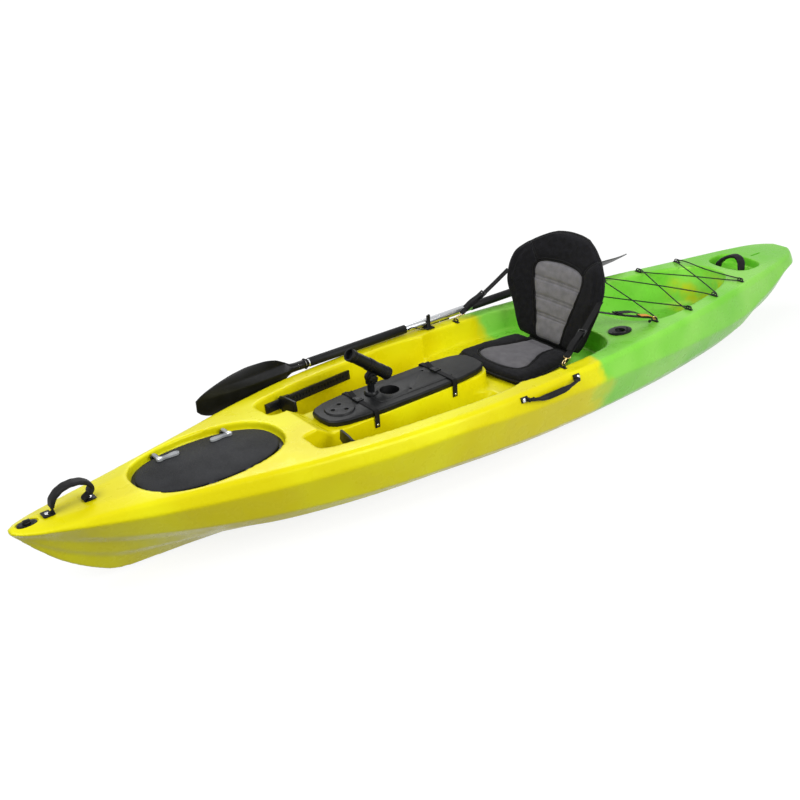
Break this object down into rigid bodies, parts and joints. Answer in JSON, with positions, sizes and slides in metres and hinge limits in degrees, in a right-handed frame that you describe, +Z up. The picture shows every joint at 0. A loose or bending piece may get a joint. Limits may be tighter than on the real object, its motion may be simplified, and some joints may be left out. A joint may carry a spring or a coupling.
{
  "type": "fishing kayak",
  "caption": "Sit-on-top fishing kayak with a folding padded seat, hatch, lidded pod with rod holder, foot braces, laced tank well, carry handles and a two-piece paddle",
  "frame": {"origin": "Amidships on the underside of the keel, the flat that the hull rests on", "axes": "+X to the bow, +Y to port, +Z up; metres"},
  "size_m": [3.66, 0.8204, 0.6471],
  "materials": {
    "hull_polyethylene": "rotomoulded polyethylene, yellow bow running into a green stern",
    "lid_plastic": "grained dark grey",
    "latch_plastic": "smooth mid grey",
    "black_plastic": "moulded, lightly grained",
    "black_rubber": "matt",
    "black_webbing": "woven nylon",
    "seat_fabric": "black mesh with grey panels",
    "shock_cord": "braided cover",
    "paddle_aluminium": "satin anodised",
    "button_steel": "polished",
    "grip_foam": "matt sleeve"
  },
  "bodies": {
    "hull": {"hull": "hull_polyethylene", "hatch_ring": "black_plastic", "hatch_seal": "black_rubber", "hatch_hinge_front": "black_plastic", "hatch_hinge_rear": "black_plastic", "drain_plug_base": "black_plastic", "bow_handle_strap": "black_webbing", "bow_handle_grip": "black_rubber", "stern_handle_strap": "black_webbing", "stern_handle_grip": "black_rubber", "side_handle_plate_front_port": "black_plastic", "side_handle_plate_rear_port": "black_plastic", "side_handle_plate_front_starboard": "black_plastic", "side_handle_plate_rear_starboard": "black_plastic", "flush_rod_holder_port": "black_plastic", "flush_rod_holder_starboard": "black_plastic", "foot_rail_port": "black_plastic", "foot_rail_starboard": "black_plastic", "seat_pan": "seat_fabric", "seat_strap_front_port": "black_webbing", "seat_strap_rear_port": "black_webbing", "seat_strap_front_starboard": "black_webbing", "seat_strap_rear_starboard": "black_webbing", "seat_eye_port": "black_plastic", "tank_eye_1_port": "black_plastic", "tank_eye_2_port": "black_plastic", "tank_eye_3_port": "black_plastic", "tank_eye_4_port": "black_plastic", "seat_eye_starboard": "black_plastic", "tank_eye_1_starboard": "black_plastic", "tank_eye_2_starboard": "black_plastic", "tank_eye_3_starboard": "black_plastic", "tank_eye_4_starboard": "black_plastic", "tank_lacing": "shock_cord", "paddle_keeper": "black_rubber"},
    "hatch_lid": {"hatch_lid": "lid_plastic"},
    "hatch_latch_front": {"hatch_latch_front": "latch_plastic"},
    "hatch_latch_rear": {"hatch_latch_rear": "latch_plastic"},
    "drain_plug": {"drain_plug": "black_plastic"},
    "pod_cover": {"pod_lid": "lid_plastic", "pod_strap_front": "black_webbing", "pod_strap_rear": "black_webbing", "rod_holder_base": "black_plastic"},
    "rod_post": {"rod_holder_post": "black_plastic"},
    "rod_tube": {"rod_holder_tube": "black_plastic"},
    "rod_knob": {"rod_holder_knob": "black_plastic"},
    "pedal_port": {"foot_pedal_port": "black_plastic"},
    "pedal_starboard": {"foot_pedal_starboard": "black_plastic"},
    "seat_back": {"seat_back": "seat_fabric"},
    "side_grip_port": {"side_handle_grip_port": "black_rubber"},
    "side_grip_starboard": {"side_handle_grip_starboard": "black_rubber"},
    "paddle_front": {"paddle_shaft_front": "paddle_aluminium", "paddle_grip_front": "grip_foam", "paddle_ring_front": "black_rubber", "paddle_blade_front": "black_plastic"},
    "paddle_rear": {"paddle_shaft_rear": "paddle_aluminium", "paddle_grip_rear": "grip_foam", "paddle_ring_rear": "black_rubber", "paddle_blade_rear": "black_plastic"},
    "paddle_button": {"paddle_button": "button_steel"}
  },
  "joints": [
    {"name": "hatch_lid_hinge", "type": "hinge", "parent": "hull", "child": "hatch_lid", "pos_m": [1.174, 0.15, 0.279], "axis": [-1, 0, 0], "range_deg": [0, 90]},
    {"name": "hatch_latch_front_turn", "type": "hinge", "parent": "hatch_lid", "child": "hatch_latch_front", "pos_m": [1.299, -0.096, 0.2843], "axis": [0, 0, -1], "range_deg": [0, 90]},
    {"name": "hatch_latch_rear_turn", "type": "hinge", "parent": "hatch_lid", "child": "hatch_latch_rear", "pos_m": [1.044, -0.096, 0.2843], "axis": [0, 0, 1], "range_deg": [0, 90]},
    {"name": "drain_plug_turn", "type": "hinge", "parent": "hull", "child": "drain_plug", "pos_m": [1.773, 0, 0.29], "axis": [0, 0, 1], "continuous": true},
    {"name": "pod_cover_lift", "type": "slide", "parent": "hull", "child": "pod_cover", "axis": [0, 0, 1], "range_m": [0, 0.25]},
    {"name": "rod_post_swivel", "type": "hinge", "parent": "pod_cover", "child": "rod_post", "pos_m": [0.508, -0.024, 0.3], "axis": [0, 0, 1], "continuous": true},
    {"name": "rod_tube_tilt", "type": "hinge", "parent": "rod_post", "child": "rod_tube", "pos_m": [0.508, -0.024, 0.346], "axis": [0, -1, 0], "range_deg": [-40, 30]},
    {"name": "rod_knob_turn", "type": "hinge", "parent": "rod_post", "child": "rod_knob", "pos_m": [0.508, -0.024, 0.346], "axis": [0, 1, 0], "continuous": true},
    {"name": "pedal_port_slide", "type": "slide", "parent": "hull", "child": "pedal_port", "axis": [-0.99, 0.1385, -0.0276], "range_m": [0, 0.25]},
    {"name": "pedal_starboard_slide", "type": "slide", "parent": "hull", "child": "pedal_starboard", "axis": [-0.99, -0.1385, -0.0276], "range_m": [0, 0.25]},
    {"name": "seat_back_fold", "type": "hinge", "parent": "hull", "child": "seat_back", "pos_m": [-0.33, 0, 0.228], "axis": [0, 1, 0], "range_deg": [0, 60], "deforming": ["seat_strap_front_port", "seat_strap_rear_port", "seat_strap_front_starboard", "seat_strap_rear_starboard"]},
    {"name": "side_grip_port_swing", "type": "hinge", "parent": "hull", "child": "side_grip_port", "pos_m": [0.012, 0.39, 0.276], "axis": [1, 0, 0], "range_deg": [0, 110]},
    {"name": "side_grip_starboard_swing", "type": "hinge", "parent": "hull", "child": "side_grip_starboard", "pos_m": [0.012, -0.39, 0.276], "axis": [-1, 0, 0], "range_deg": [0, 110]},
    {"name": "paddle_lift", "type": "slide", "parent": "hull", "child": "paddle_front", "axis": [0, 0, 1], "range_m": [0, 0.3]},
    {"name": "paddle_feather", "type": "hinge", "parent": "paddle_front", "child": "paddle_rear", "pos_m": [-0.061, -0.344, 0.3134], "axis": [1, 0, 0], "range_deg": [0, 60]},
    {"name": "paddle_button_press", "type": "slide", "parent": "paddle_front", "child": "paddle_button", "axis": [0, 0, -1], "range_m": [0, 0.002], "stiffness_N_per_m": 400}
  ]
}
